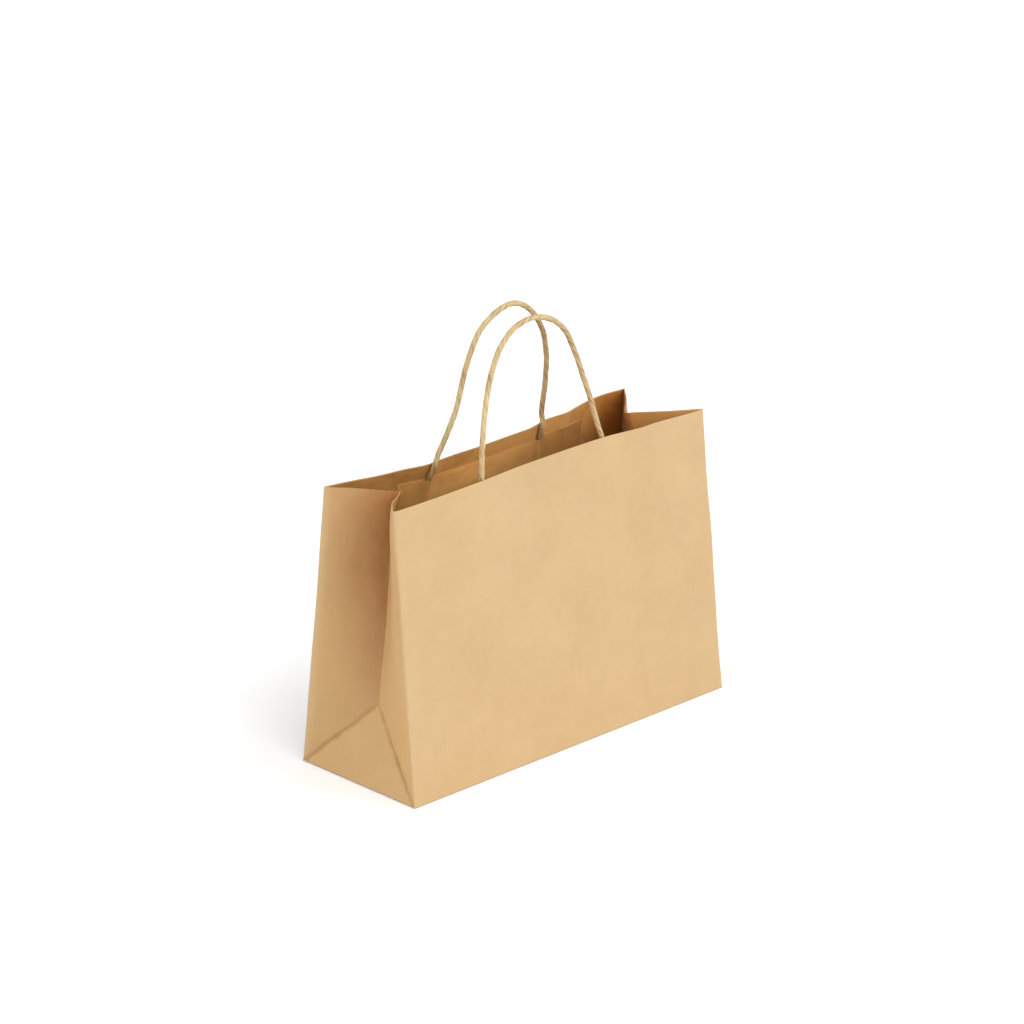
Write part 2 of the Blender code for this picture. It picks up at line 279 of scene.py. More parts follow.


# Kraft paper's two tones, and the tints of painted shade over them: outside the rear gussets, inside the bag,
# and inside its narrow sides, where little light reaches
LIGHT = (0.452, 0.307, 0.157, 1)
DARK = (0.411, 0.272, 0.131, 1)
SHADED = (0.94, 0.865, 0.745, 1)
INSIDE_SHADE = (1.04, 0.755, 0.39, 1)
SIDE_INSIDE_SHADE = (1.04, 0.875, 0.65, 1)
# Painted shade that fades in towards the right and left ends of the inside, and of a patch's cover: (where it
# starts, where it is full, tint)
INSIDE_END_SHADES = ((0.262, 0.295, (0.70, 0.53, 0.24, 1)), (0.118, 0.078, (0.76, 0.74, 0.67, 1)))
PATCH_END_SHADES = ((COVER_SHIFT - 0.02, COVER_SHIFT + 0.09, (0.49, 0.41, 0.30, 1)),
              (COVER_SHIFT - 0.035, COVER_SHIFT - 0.08, (0.72, 0.70, 0.64, 1)))


def new_material(name):
    material = bpy.data.materials.new(name)
    material.use_nodes = True
    return material, Nodes(material)


def grey(value):
    return (value, value, value, 1)


def specks(n, sheet, colour):
    """Adds dark specks of bark and pale flecks."""
    bark = n.add("TexVoronoi", {"feature": "F1"}, Vector=sheet, Scale=75.0, Randomness=1.0)
    near = n.ramp(bark.outputs[0], (0.0, grey(1)), (0.022, grey(1)), (0.045, grey(0)))
    chosen = n.ramp(n.noise(sheet, 61.0, 0.0), (0.60, grey(0)), (0.63, grey(1)))
    colour = n.mix("MIX", n.times(near, chosen, 0.55), colour, (0.18, 0.10, 0.045, 1))
    pale = n.add("TexVoronoi", {"feature": "F1"}, Vector=n.stretch(sheet, (1.3, 0.7, 1)), Scale=52.0)
    near = n.ramp(pale.outputs[0], (0.0, grey(1)), (0.03, grey(0)))
    chosen = n.ramp(n.noise(sheet, 47.0, 0.0), (0.62, grey(0)), (0.66, grey(1)))
    return n.mix("MIX", n.times(near, chosen, 0.4), colour, (0.60, 0.46, 0.28, 1))


def gusset_shading(n, sheet, up, corner, colour, tint, tint_from, crease_shade_tint):
    """Paints light and shade on a gusset: a tint from its corner fold on, and painted shade deeper towards
    its centre crease and up.
    """
    inwards = n.times(corner, 1 / (DEPTH / 2))
    # the gusset's tint of painted light and shade fades in from the corner fold
    off_corner = n.ramp(inwards, (tint_from[0], grey(0)), (tint_from[1], grey(1)))
    colour = n.mix("MULTIPLY", off_corner, colour, tint)
    # painted shade in the valley of the centre crease, stronger higher up and patchy
    crease_shade = n.ramp(inwards, (0.06, grey(0)), (0.42, grey(0.47)), (0.90, grey(1)))
    high = n.ramp(up, (0.035, grey(0.06)), (0.16, grey(1)))
    cloudy = n.noise(n.stretch(sheet, (2.2, 0.9, 1)), 24.0, 3.0, 0.55, 0.4)
    soft = n.ramp(cloudy, (0.32, grey(0.78)), (0.62, grey(1)))
    return n.mix("MULTIPLY", n.times(crease_shade, high, soft), colour, crease_shade_tint)


def foot_fold_shade(n, sheet, up, corner, colour):
    """Paints shade along the fold between a gusset and its foot, where up equals the distance to the corner.
    """
    wander = n.times(n.math("SUBTRACT", n.noise(sheet, 75.0, 2.0, 0.6), 0.5), 0.007)
    off = n.math("ADD", n.math("SUBTRACT", up, corner), wander)
    near = n.ramp(n.times(n.math("ABSOLUTE", off), 1 / 0.006), (0.0, grey(1)), (0.22, grey(0.72)),
                  (0.68, grey(0)))
    patchiness = n.ramp(n.noise(sheet, 30.0, 1.0), (0.3, grey(0.35)), (0.65, grey(0.95)))
    below_apex = n.ramp(up, (0.054, grey(1)), (0.062, grey(0)))
    return n.mix("MULTIPLY", n.times(near, patchiness, below_apex), colour, (0.69, 0.58, 0.41, 1))


def kraft(name, rib_strength=1.0, tint=(1, 1, 1, 1), hem_shade_tint=None, folds=None, tint_from=None,
          crease_shade_tint=None, crumple_shade=0.0, end_shades=()):
    """Uncoated kraft paper: cloudy formation, faint ribs along the sheet, fibres and small bark specks.

    tint goes over the whole paper, and the hem's tint over what is turned in past the rim; both paint light
    and shade. folds is "gusset" or "foot" for paper that meets the foot's fold, which gets painted shade
    along it. On a gusset, tint fades in between the two shares of its depth in tint_from, and the crease tint
    paints shade towards the centre crease. The end tints paint shade that fades in across the sheet: (place
    where it starts, place where it is full, tint). The crumple amount paints shade in soft creases on the
    inside.
    """
    material, n = new_material(name)
    sheet = n.add("UVMap", {"uv_map": "sheet"}).outputs[0]
    clouds = n.noise(sheet, 16.0, 4.0, 0.55, 0.3)
    blotches = n.noise(sheet, 90.0, 3.0, 0.6)
    ribs = n.noise(n.stretch(sheet, (900, 14, 1)), 1.0, 2.0, 0.6)
    cross = n.noise(n.stretch(sheet, (22, 500, 1)), 1.0, 2.0, 0.5)
    fibres = n.noise(n.stretch(sheet, (2600, 700, 1)), 1.0, 3.0, 0.7, 1.5)
    tone = n.total((clouds, 0.42), (blotches, 0.20), (ribs, 0.10 * rib_strength), (cross, 0.04),
                   (fibres, 0.16))
    colour = n.ramp(tone, (0.36, DARK), (0.58, LIGHT))
    colour = specks(n, sheet, colour)
    place = n.add("SeparateXYZ", Vector=sheet)
    across, up = place.outputs[0], place.outputs[1]
    if folds == "gusset":
        from_right = n.math("ABSOLUTE", n.math("SUBTRACT", across, WIDTH))
        corner = n.math("MINIMUM", n.math("ABSOLUTE", across), from_right)
        colour = gusset_shading(n, sheet, up, corner, colour, tint, tint_from, crease_shade_tint)
    else:
        corner = n.math("SUBTRACT", DEPTH / 2, n.math("ABSOLUTE", across))
        colour = n.mix("MULTIPLY", 1.0, colour, tint)
    if folds:
        colour = foot_fold_shade(n, sheet, up, corner, colour)
    inside = 1.0
    # painted shade over the hem, inside the bag
    if hem_shade_tint:
        inside = n.math("GREATER_THAN", up, HEIGHT + 0.0004)
        colour = n.mix("MULTIPLY", inside, colour, hem_shade_tint)
    # painted shade fading in towards the ends of the sheet
    for start, end, end_shade in end_shades:
        along = n.math("DIVIDE", n.math("SUBTRACT", across, start), end - start, clamp=True)
        colour = n.mix("MULTIPLY", n.times(along, inside), colour, end_shade)
    if crumple_shade:
        # painted shade of soft creases pressed in where the cords and the hem were glued
        creases = n.noise(n.stretch(sheet, (1.0, 1.5, 1)), 40.0, 3.0, 0.55, 0.8)
        crumple_shading = n.ramp(creases, (0.36, grey(1)), (0.56, grey(0)))
        colour = n.mix("MULTIPLY", n.times(crumple_shading, crumple_shade, inside), colour, (0.74, 0.62, 0.45, 1))
    n.set(n.shader.inputs["Base Color"], colour)
    rough = n.ramp(clouds, (0.3, grey(0.62)), (0.7, grey(0.74)))
    n.set(n.shader.inputs["Roughness"], rough)
    n.shader.inputs["Specular IOR Level"].default_value = 0.28
    n.shader.inputs["Sheen Weight"].default_value = 0.06
    n.shader.inputs["Sheen Roughness"].default_value = 0.5
    height = n.total((ribs, 0.5 * rib_strength), (fibres, 0.35), (clouds, 1.2))
    bump = n.add("Bump", Height=height, Strength=0.35, Distance=0.00012)
    n.set(n.shader.inputs["Normal"], bump.outputs[0])
    return material


def cord_material():
    """Twisted kraft strips: fine creases that run round with the strands, with painted shade between them."""
    material, n = new_material("twisted_cord")
    twist = n.add("UVMap", {"uv_map": "twist"}).outputs[0]
    streaks = n.noise(n.stretch(twist, (9, 30, 1)), 1.0, 3.0, 0.65, 0.2)
    creases = n.noise(n.stretch(twist, (26, 120, 1)), 1.0, 2.0, 0.6, 0.4)
    tones = n.noise(n.stretch(twist, (0.8, 60, 1)), 1.0, 2.0, 0.5)
    tone = n.total((streaks, 0.45), (creases, 0.3), (tones, 0.25))
    colour = n.ramp(tone, (0.39, (0.25, 0.158, 0.064, 1)), (0.49, (0.44, 0.318, 0.158, 1)),
                    (0.62, (0.54, 0.414, 0.243, 1)))
    # painted shade in the grooves between the strands
    groove = n.add("Attribute", {"attribute_name": "groove"}).outputs[2]
    colour = n.mix("MULTIPLY", n.times(groove, 0.55), colour, (0.55, 0.42, 0.25, 1))
    # painted shade on the cord inside the bag's mouth and on its far leg
    shade = n.add("Attribute", {"attribute_name": "shade"}).outputs[2]
    colour = n.mix("MULTIPLY", n.times(shade, 0.85), colour, (0.62, 0.47, 0.30, 1))
    n.set(n.shader.inputs["Base Color"], colour)
    n.shader.inputs["Roughness"].default_value = 0.62
    n.shader.inputs["Specular IOR Level"].default_value = 0.3
    height = n.total((streaks, 0.7), (creases, 0.5))
    bump = n.add("Bump", Height=height, Strength=0.8, Distance=0.0003)
    n.set(n.shader.inputs["Normal"], bump.outputs[0])
    return material


# ---------------------------------------------------------------- the folded sheet

def rim_lean(side, x):
    """How far inwards a rim leans at one x."""
    return through(FRONT_RIM if side < 0 else BACK_RIM, x)


def slide(side, x, up):
    """How far a panel's point moves along X as the bag's mouth twists."""
    middle, further = RIM_SHIFT[side]
    return (middle + further * x / (WIDTH / 2)) * up / HEIGHT


def panel_point(side, x, up, depth=0.0):
    """A point of a panel as it hangs: up along the paper, depth towards the inside."""
    at = min(max(x, -WIDTH / 2), WIDTH / 2)
    high = up / HEIGHT
    lean = rim_lean(side, at)
    slope = lean / HEIGHT
    rise = math.sqrt(1 - slope ** 2)
    if side > 0:
        lean += through(BACK_WAVES, at) * high ** 3
    else:
        up = up - through(FRONT_SAG, at) * high ** 2
    return Vector((x + slide(side, x, up), side * (DEPTH / 2 - high * lean - depth * rise),
                   up * rise - depth * slope))


def sheet_point(side, x, up, depth):
    """A point of a panel found by where it hangs along X."""
    return panel_point(side, x - slide(side, x, up), up, depth)


def cad_panel_point(side, x, up, depth):
    """The same point on the CAD model's panel, which the cords' pivots follow."""
    slope = (CORNER_LEAN + through(FRONT_BOW if side < 0 else BACK_BOW, x)) / HEIGHT
    rise = math.sqrt(1 - slope ** 2)
    return Vector((x, side * (DEPTH / 2 - up * slope - depth * rise), up * rise - depth * slope))


def apex(side_x):
    """The point of a gusset's foot."""
    rise = math.sqrt((DEPTH / 2) ** 2 - APEX_INSET ** 2)
    return Vector((side_x * (WIDTH / 2 - APEX_INSET), 0, rise))


def crease_point(side_x, up):
    """A point of the gusset's centre crease, up along the paper from the base."""
    table = LEFT_CREASE if side_x < 0 else RIGHT_CREASE
    low, high = table[0][0], table[-1][0]
    z = low + (high - low) * (up - DEPTH / 2) / (HEIGHT - DEPTH / 2)
    inset = through([(row[0], row[1]) for row in table], z)
    y = through([(row[0], row[2]) for row in table], z)
    wander = CREASE_WANDER[0] * noise.noise(Vector((z * 95, side_x * 3.1, 0.4)))
    wander += CREASE_WANDER[1] * noise.noise(Vector((z * 260, side_x * 3.1, 2.4)))
    wander *= ease((up - 0.062) / 0.012) * (1 - 0.5 * ease((up - 0.15) / 0.05))
    return Vector((side_x * (WIDTH / 2 - inset - wander), y + wander, z))


def gusset_edge(side_x, side_y, up):
    """Where a half gusset ends away from its corner: on the centre crease, or on the fold to the foot."""
    if up >= DEPTH / 2:
        return crease_point(side_x, up)
    foot = Vector((side_x * WIDTH / 2, side_y * DEPTH / 2, 0))
    return foot.lerp(apex(side_x), up / (DEPTH / 2))


def corner_radius(side_x, side_y, up):
    """How far a corner's soft fold reaches to each side."""
    low, top = FRONT_LEFT_CORNER_REACH if (side_x, side_y) == (-1, -1) else CORNER_REACH
    return low + (top - low) * ease((up - 0.03) / 0.19)


def corner_fold(side_x, side_y, up):
    """A corner, where its soft fold ends on the gusset, and how far the fold reaches."""
    corner = panel_point(side_y, side_x * WIDTH / 2, up)
    span = gusset_edge(side_x, side_y, up) - corner
    length = max(span.length, 1e-6)
    reach = min(corner_radius(side_x, side_y, up), 0.4 * length)
    return corner, corner + span / length * reach, reach


def bulge(side_x, side_y, up):
    """How far a half gusset stands out from the straight line between its creases."""
    if (side_x, side_y) == (-1, -1):
        return FRONT_LEFT_SWELL * ease((up - 0.05) / 0.10)
    outwards = -1 if side_x < 0 else side_y
    return outwards * GUSSET_SWELL * ease((up - 0.07) / 0.08)


def bezier(a, b, c, t):
    """A point of the curve from a towards b and on to c."""
    return a * (1 - t) ** 2 + b * 2 * t * (1 - t) + c * t * t


def lap_row(edge, along, other, fold, flat_length):
    """Points and places where the rear half's fold runs on a little behind the front half."""
    inwards = along - other
    inwards = (inwards - other * inwards.dot(other)).normalized()
    start, end = edge + other * fold, edge - along * fold
    points = [edge + other * (fold * share) + inwards * LAP_DEPTH for share in LAP_REACHES]
    across = [flat_length + fold * share for share in LAP_REACHES]
    for t in LAP_TURNS:
        points.append(bezier(start, edge, end, t) + inwards * (LAP_DEPTH * (0.5 - t) * 2))
        across.append(flat_length - fold * (2 * t - 1))
    return points, across


def half_gusset_row(side_x, side_y, up):
    """Points and across-the-sheet places from the centre crease to the middle of the corner fold."""
    corner, gusset_in, reach = corner_fold(side_x, side_y, up)
    panel_in = panel_point(side_y, side_x * (WIDTH / 2 - reach), up)
    edge = gusset_edge(side_x, side_y, up)
    span = edge - corner
    along = span / max(span.length, 1e-6)
    fold = CREASE_REACH * ease((up - DEPTH / 2) / 0.02)
    outwards = along.cross(STRAIGHT_UP).normalized()
    if outwards.x * side_x < 0:
        outwards = -outwards
    swell = bulge(side_x, side_y, up)
    flat_length = min(up, DEPTH / 2)
    points, across = [], []
    if fold > 0:
        other = (panel_point(-side_y, side_x * WIDTH / 2, up) - edge).normalized()
        if side_y > 0:
            points, across = lap_row(edge, along, other, fold, flat_length)
        start, end = edge + other * fold, edge - along * fold
        for i in range(FOLD_STEPS):
            t = 0.5 + 0.5 * i / FOLD_STEPS
            points.append(bezier(start, edge, end, t))
            across.append(flat_length - fold * (2 * t - 1))
    else:
        lap_steps = len(LAP_REACHES) + len(LAP_TURNS) if side_y > 0 else 0
        points += [edge] * (FOLD_STEPS + lap_steps)
        across += [flat_length] * (FOLD_STEPS + lap_steps)
    first = edge - along * fold
    for i in range(GUSSET_COLUMNS + 1):
        t = i / GUSSET_COLUMNS
        t = 0.5 * t + 0.5 * (0.5 - 0.5 * math.cos(math.pi * t))
        place = first.lerp(gusset_in, t)
        place = place + outwards * swell * math.sin(math.pi * t ** 1.3) ** 2
        points.append(place)
        across.append((flat_length - fold) * (1 - t) + reach * t)
    for i in range(1, FOLD_STEPS + 1):
        t = 0.5 * i / FOLD_STEPS
        points.append(bezier(gusset_in, corner, panel_in, t))
        across.append(reach * (1 - 2 * t))
    return points, across


def panel_row(side_y, up):
    """Points and places from the middle of the left corner fold to the middle of the right one."""
    points, across = [], []
    corner, gusset_in, reach = corner_fold(-1, side_y, up)
    last_corner, last_gusset_in, last_reach = corner_fold(1, side_y, up)
    start = -WIDTH / 2 + reach
    stop = WIDTH / 2 - last_reach
    for i in range(FOLD_STEPS):
        t = 0.5 + 0.5 * i / FOLD_STEPS
        points.append(bezier(gusset_in, corner, panel_point(side_y, start, up), t))
        across.append(reach * (2 * t - 1))
    for i in range(PANEL_COLUMNS + 1):
        x = start + (stop - start) * i / PANEL_COLUMNS
        points.append(panel_point(side_y, x, up))
        across.append(x + WIDTH / 2)
    for i in range(1, FOLD_STEPS + 1):
        t = 0.5 * i / FOLD_STEPS
        points.append(bezier(panel_point(side_y, stop, up), last_corner, last_gusset_in, t))
        across.append(WIDTH - last_reach + last_reach * 2 * t)
    return points, across


def sheet_rows():
    """The heights of the grid's rows, closer together at the base and the rim."""
    rows = [0.0, 0.0006, PANEL_START, 0.0025, 0.005]
    rows += [0.010 + 0.005 * i for i in range(10)]
    rows += [0.060 + 0.004 * i for i in range(39)]
    rows += [0.2145, 0.2165, 0.2183, 0.2193, HEIGHT]
    return sorted(set(round(r, 5) for r in rows))


def grid_normals(grid):
    """The direction that a grid of points faces at each of them."""
    across = np.gradient(grid, axis=1)
    up = np.gradient(grid, axis=0)
    normals = np.cross(across, up)
    lengths = np.linalg.norm(normals, axis=2, keepdims=True)
    lengths[lengths < 1e-12] = 1
    return normals / lengths


def undulation(point, side_y):
    """The slight unevenness of handled paper."""
    p = Vector(point)
    broad = noise.noise(Vector((p.x * 13, p.z * 17, side_y * 5.0 + p.y * 9)))
    medium = noise.noise(Vector((p.x * 34 + 7, p.z * 30, side_y * 3.0 + p.y * 20)))
    fine = noise.noise(Vector((p.x * 95, p.z * 80 + 3, side_y * 2.0 + p.y * 60)))
    return UNEVENNESS[0] * broad + UNEVENNESS[1] * medium + UNEVENNESS[2] * fine


def half_sheet(side_y):
    """One half of the bag as a grid from the left centre crease to the right one.

    Returns its rows' heights, its points, their places in the flat sheet, and the columns where it is cut.
    """
    rows = sheet_rows()
    grid, flat = [], []
    for up in rows:
        left, left_across = half_gusset_row(-1, side_y, up)
        middle, middle_across = panel_row(side_y, up)
        right, right_across = half_gusset_row(1, side_y, up)
        points = left[:-1] + middle + right[::-1][1:]
        places = [-a for a in left_across[:-1]] + middle_across
        places += [WIDTH + a for a in right_across[::-1][1:]]
        grid.append([tuple(p) for p in points])
        flat.append([(a, up) for a in places])
    grid, flat = np.array(grid), np.array(flat)
    cut_left = len(left) - 1
    cut_right = cut_left + len(middle) - 1
    normals = grid_normals(grid) * (1 if side_y < 0 else -1)
    count = grid.shape[1]
    for r, up in enumerate(rows):
        gusset = min(up, DEPTH / 2)
        for c in range(count):
            edge_distance = min(flat[r, c, 0] + gusset, WIDTH + gusset - flat[r, c, 0])
            fade = ease(edge_distance / 0.02) * ease(up / 0.03)
            grid[r, c] += normals[r, c] * undulation(grid[r, c], side_y) * fade
    return rows, grid, flat, cut_left, cut_right


def hem_rows(rows, grid, flat, side_y):
    """Adds the top of a grid turned over to the inside, as the hem."""
    normals = grid_normals(grid) * (1 if side_y < 0 else -1)
    extra, extra_flat = [], []
    top, top_normal = grid[-1], normals[-1]
    below = grid[-1] - grid[-2]
    upwards = below / np.linalg.norm(below, axis=1, keepdims=True)
    for angle in (40, 90, 140):
        a = math.radians(angle)
        lift = 0.5 * LAYER * math.sin(a)
        inwards = 0.5 * LAYER * (1 - math.cos(a))
        extra.append(top + upwards * lift - top_normal * inwards)
        extra_flat.append(flat[-1] + (0, 0.5 * LAYER * a))
    for r in range(len(rows) - 1, -1, -1):
        if rows[r] < HEIGHT - HEM_HEIGHT - 0.001:
            break
        extra.append(grid[r] - normals[r] * LAYER)
        extra_flat.append(np.stack([flat[r][:, 0], np.full(len(flat[r]), 2 * HEIGHT - rows[r])], axis=1))
    return np.concatenate([grid, np.array(extra)]), np.concatenate([flat, np.array(extra_flat)])


def sheet_piece(name, grid, flat, flip, material, inside=None):
    """A mesh from a grid of points, with its places in the flat sheet as UVs, thickened to paper."""
    rows, columns = grid.shape[:2]
    faces = []
    for r in range(rows - 1):
        for c in range(columns - 1):
            a, b = r * columns + c, r * columns + c + 1
            d, e = a + columns, b + columns
            faces.append((a, d, e, b) if flip else (a, b, e, d))
    mesh = bpy.data.meshes.new(name)
    mesh.from_pydata([tuple(p) for p in grid.reshape(-1, 3)], [], faces)
    uv = mesh.uv_layers.new(name="sheet")
    places = flat.reshape(-1, 2)
    index = np.empty(len(mesh.loops), np.int32)
    mesh.loops.foreach_get("vertex_index", index)
    uv.data.foreach_set("uv", places[index].astype(np.float32).reshape(-1))
    mesh.polygons.foreach_set("use_smooth", [True] * len(mesh.polygons))
    piece = new_object(name, mesh)
    mesh.materials.append(material)
    mesh.materials.append(inside or material)
    weld = piece.modifiers.new("weld", "WELD")
    weld.merge_threshold = 0.00002
    thicken = piece.modifiers.new("paper", "SOLIDIFY")
    thicken.thickness = PAPER
    thicken.offset = 0
    thicken.material_offset = 1
    thicken.use_quality_normals = True
    crisp = piece.modifiers.new("crisp", "EDGE_SPLIT")
    crisp.split_angle = math.radians(60)
    return piece


def strip(name, side_y, xs, ups, depth_at, columns, rows, material, shift):
    """A sheet that lies along a panel's inside."""
    grid, flat = [], []
    for r in range(rows + 1):
        up = ups[0] + (ups[1] - ups[0]) * r / rows
        line, places = [], []
        for c in range(columns + 1):
            x = xs[0] + (xs[1] - xs[0]) * c / columns
            p = panel_point(side_y, x, up)
            depth = depth_at(x, up) - undulation(p, side_y)
            line.append(tuple(panel_point(side_y, x, up, depth)))
            places.append((x + shift, up + shift))
        grid.append(line)
        flat.append(places)
    return sheet_piece(name, np.array(grid), np.array(flat), side_y > 0, material)


def bottom_rows(side_y, grid, flat, level):
    """Adds the fold under a panel and its flap of the base, as rows below the panel's first one."""
    xs = grid[0][:, 0]
    extra, extra_flat = [], []
    floor = PAPER / 2 + level
    free = DEPTH / 2 - FLAP_DEPTH
    for i in range(9):
        y = free + (DEPTH / 2 - FOLD_RADIUS - free) * i / 8
        half = WIDTH / 2 - (DEPTH / 2 - y) - 0.0005
        extra.append([(x / (WIDTH / 2) * half, side_y * y, floor) for x in xs])
        extra_flat.append([(x + WIDTH / 2, y - DEPTH / 2) for x in xs])
    for angle in (30, 60):
        a = math.radians(angle)
        y = DEPTH / 2 - FOLD_RADIUS + FOLD_RADIUS * math.sin(a)
        z = floor + (grid[0][:, 2].mean() - floor) * (1 - math.cos(a))
        extra.append([(x, side_y * y, z) for x in xs])
        extra_flat.append([(x + WIDTH / 2, -FOLD_RADIUS + FOLD_RADIUS * a) for x in xs])
    return np.concatenate([np.array(extra), grid]), np.concatenate([np.array(extra_flat), flat])


def make_halves(paper, front_gusset, rear_gusset, inside, side_inside):
    """Each half's panel with its bottom flap and hem, and its two half gussets."""
    for side_y, name, half in ((-1, "front", "front"), (1, "back", "rear")):
        rows, grid, flat, cut_left, cut_right = half_sheet(side_y)
        whole, whole_flat = hem_rows(rows, grid, flat, side_y)
        flip = side_y > 0
        low = rows.index(PANEL_START)
        panel = whole[low:, cut_left:cut_right + 1]
        panel_flat = whole_flat[low:, cut_left:cut_right + 1]
        level = 0.0 if side_y < 0 else REAR_FLAP_LEVEL
        panel, panel_flat = bottom_rows(side_y, panel, panel_flat, level)
        piece = sheet_piece(f"{name}_panel_sheet", panel, panel_flat, flip, paper, inside)
        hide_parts(f"{name}_panel", f"{name}_top_hem", f"bottom_{half}_flap")
        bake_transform(piece)
        for side_x, side in ((-1, "left"), (1, "right")):
            part = slice(0, cut_left + 1) if side_x < 0 else slice(cut_right, None)
            piece = sheet_piece(f"{side}_gusset_{half}_sheet", whole[:, part], whole_flat[:, part], flip,
                                front_gusset if side_y < 0 else rear_gusset, side_inside)
            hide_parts(f"{side}_gusset_{half}_lower", f"{side}_gusset_{half}_upper",
                        f"{side}_gusset_{half}_hem")
            corner = Vector((side_x * WIDTH / 2, side_y * (DEPTH / 2 - CORNER_LEAN),
                             math.sqrt(HEIGHT ** 2 - CORNER_LEAN ** 2)))
            foot = Vector((side_x * WIDTH / 2, side_y * DEPTH / 2, 0))
            point = apex(side_x)
            line = (corner - point).normalized()
            away = foot - point
            away = (away - line * away.dot(line)).normalized()
            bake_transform(piece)


def make_feet(paper, inside):
    """The triangle at the foot of each gusset, and the end flap that it runs on into."""
    for side_x, name in ((-1, "left"), (1, "right")):
        point = apex(side_x)
        rows = [PANEL_START, 0.0025, 0.005] + [0.010 + 0.005 * i for i in range(11)]
        shares = [2 * c / FOOT_COLUMNS - 1 for c in range(FOOT_COLUMNS + 1)]
        grid, flat = [], []
        floor = PAPER / 2 + END_FLAP_LEVEL
        free = WIDTH / 2 - END_FLAP_LENGTH
        for i in range(7):
            x = free + (WIDTH / 2 - END_FLAP_INSET - free) * i / 6
            grid.append([(side_x * x, s * (DEPTH / 2 - 0.0006), floor) for s in shares])
            flat.append([(s * DEPTH / 2, x - WIDTH / 2) for s in shares])
        for up in rows:
            t = up / (DEPTH / 2)
            line, places = [], []
            for s in shares:
                base = Vector((side_x * WIDTH / 2, s * DEPTH / 2, 0))
                place = base.lerp(point, t) if t < 1 else point.copy()
                place = Vector((place.x, s * DEPTH / 2 * (1 - t), place.z))
                fade = (1 - s * s) * ease(t * 4) * (1 - t)
                place.x += side_x * (0.0006 * fade + 0.5 * undulation(place, side_x * 2.0) * fade)
                line.append(tuple(place))
                places.append((s * DEPTH / 2 * (1 - t), up))
            if up < 0.002:
                line = [(x, y, max(z, floor + 0.0004)) for x, y, z in line]
            grid.append(line)
            flat.append(places)
        piece = sheet_piece(f"{name}_foot_sheet", np.array(grid), np.array(flat), side_x < 0, paper, inside)
        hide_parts(f"{name}_gusset_foot", f"bottom_end_flap_{name}")
        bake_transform(piece)


# ---------------------------------------------------------------- handles

def hump(x, feet):
    """How far the patch's cover rises over the cords, as a share of the whole rise."""
    near = min(abs(x - patch_x) for patch_x, rim_x, pivot_x in feet)
    return 0.5 + 0.5 * math.cos(math.pi * near / HUMP_HALF_WIDTH) if near < HUMP_HALF_WIDTH else 0.0


def make_patches(paper):
    """The two strips that hold each handle: a base between cord and panel, and a cover over the cord."""
    low, high = HEIGHT - PATCH_BELOW_RIM - PATCH_HEIGHT, HEIGHT - PATCH_BELOW_RIM
    for side_y, name, feet in ((-1, "front", FRONT_FEET), (1, "back", BACK_FEET)):
        base = strip(f"{name}_patch_base_sheet", side_y, PATCH, (low, high), lambda x, up: 1.7 * LAYER,
                     60, 10, paper, BASE_SHIFT)
        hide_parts(f"{name}_handle_patch_base")

        def cover(x, up):
            at = x + slide(side_y, x, up)
            crumple = 0.5 + noise.noise(Vector((x * 38, up * 60, side_y * 4.0)))
            crumple += 0.4 * noise.noise(Vector((x * 130, up * 90, side_y * 4.0)))
            flat = 1 - hump(at, feet)
            edges = ease(min(x - PATCH[0], PATCH[1] - x) / 0.006)
            crumple = CRUMPLE_HEIGHT * max(crumple, 0) * edges * flat
            return 2.3 * LAYER + HUMP_HEIGHT * (1 - flat) + crumple

        top = strip(f"{name}_patch_cover_sheet", side_y, PATCH, (low, high - 0.0004), cover,
                    190, 14, paper, COVER_SHIFT)
        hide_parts(f"{name}_handle_patch_cover")
        for piece in (base, top):
            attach(piece, name)


def make_seam(paper):
    """The tab that closes the sheet, glued inside the back panel's right edge."""
    edge = WIDTH / 2 - SEAM_INSET
    piece = strip("side_seam_sheet", 1, (edge - SEAM_WIDTH, edge), (0.004, HEIGHT - HEM_HEIGHT - 0.0015),
                  lambda x, up: LAYER, 6, 30, paper, SEAM_SHIFT)
    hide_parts("side_seam_tab")
    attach(piece, "back")


def smooth_route(route, count):
    """Evenly spaced points of the smooth curve through a route's points."""
    along = [0.0]
    for a, b in zip(route, route[1:]):
        along.append(along[-1] + (b - a).length)
    axes = [[(s, p[k]) for s, p in zip(along, route)] for k in range(3)]
    return [Vector([through(axis, along[-1] * i / (count - 1)) for axis in axes]) for i in range(count)]


def handle_path(side_y, feet, lean, route):
    """The line of one cord, from inside the patch over the loop and back into it, and its two feet."""
    pivots = [cad_panel_point(side_y, pivot_x, HEIGHT + PIVOT_ABOVE_RIM, CORD_DEPTH)
              for patch_x, rim_x, pivot_x in feet]
    along = (pivots[1] - pivots[0]).normalized()
    inwards = STRAIGHT_UP.cross(along) * -side_y
    rise = inwards * math.sin(lean) + STRAIGHT_UP * math.cos(lean)
    middle = (pivots[0] + pivots[1]) / 2
    ends = []
    for patch_x, rim_x, pivot_x in feet:
        free = HEIGHT - PATCH_BELOW_RIM
        # up through the patch, out at its top and past the rim
        places = ((patch_x, free - HIDDEN_CORD, PRESSED_DEPTH), (patch_x, free - 0.013, PRESSED_DEPTH),
                  (patch_x, free - 0.001, PRESSED_DEPTH + 0.0003), (rim_x, HEIGHT, CORD_DEPTH - 0.0002))
        ends.append([sheet_point(side_y, *place) for place in places])
    loop = [middle + along * a + rise * r for a, r in route]
    placed = ends[0] + [pivots[0]] + loop + [pivots[1]] + ends[1][::-1]
    return smooth_route(placed, CORD_RINGS), pivots


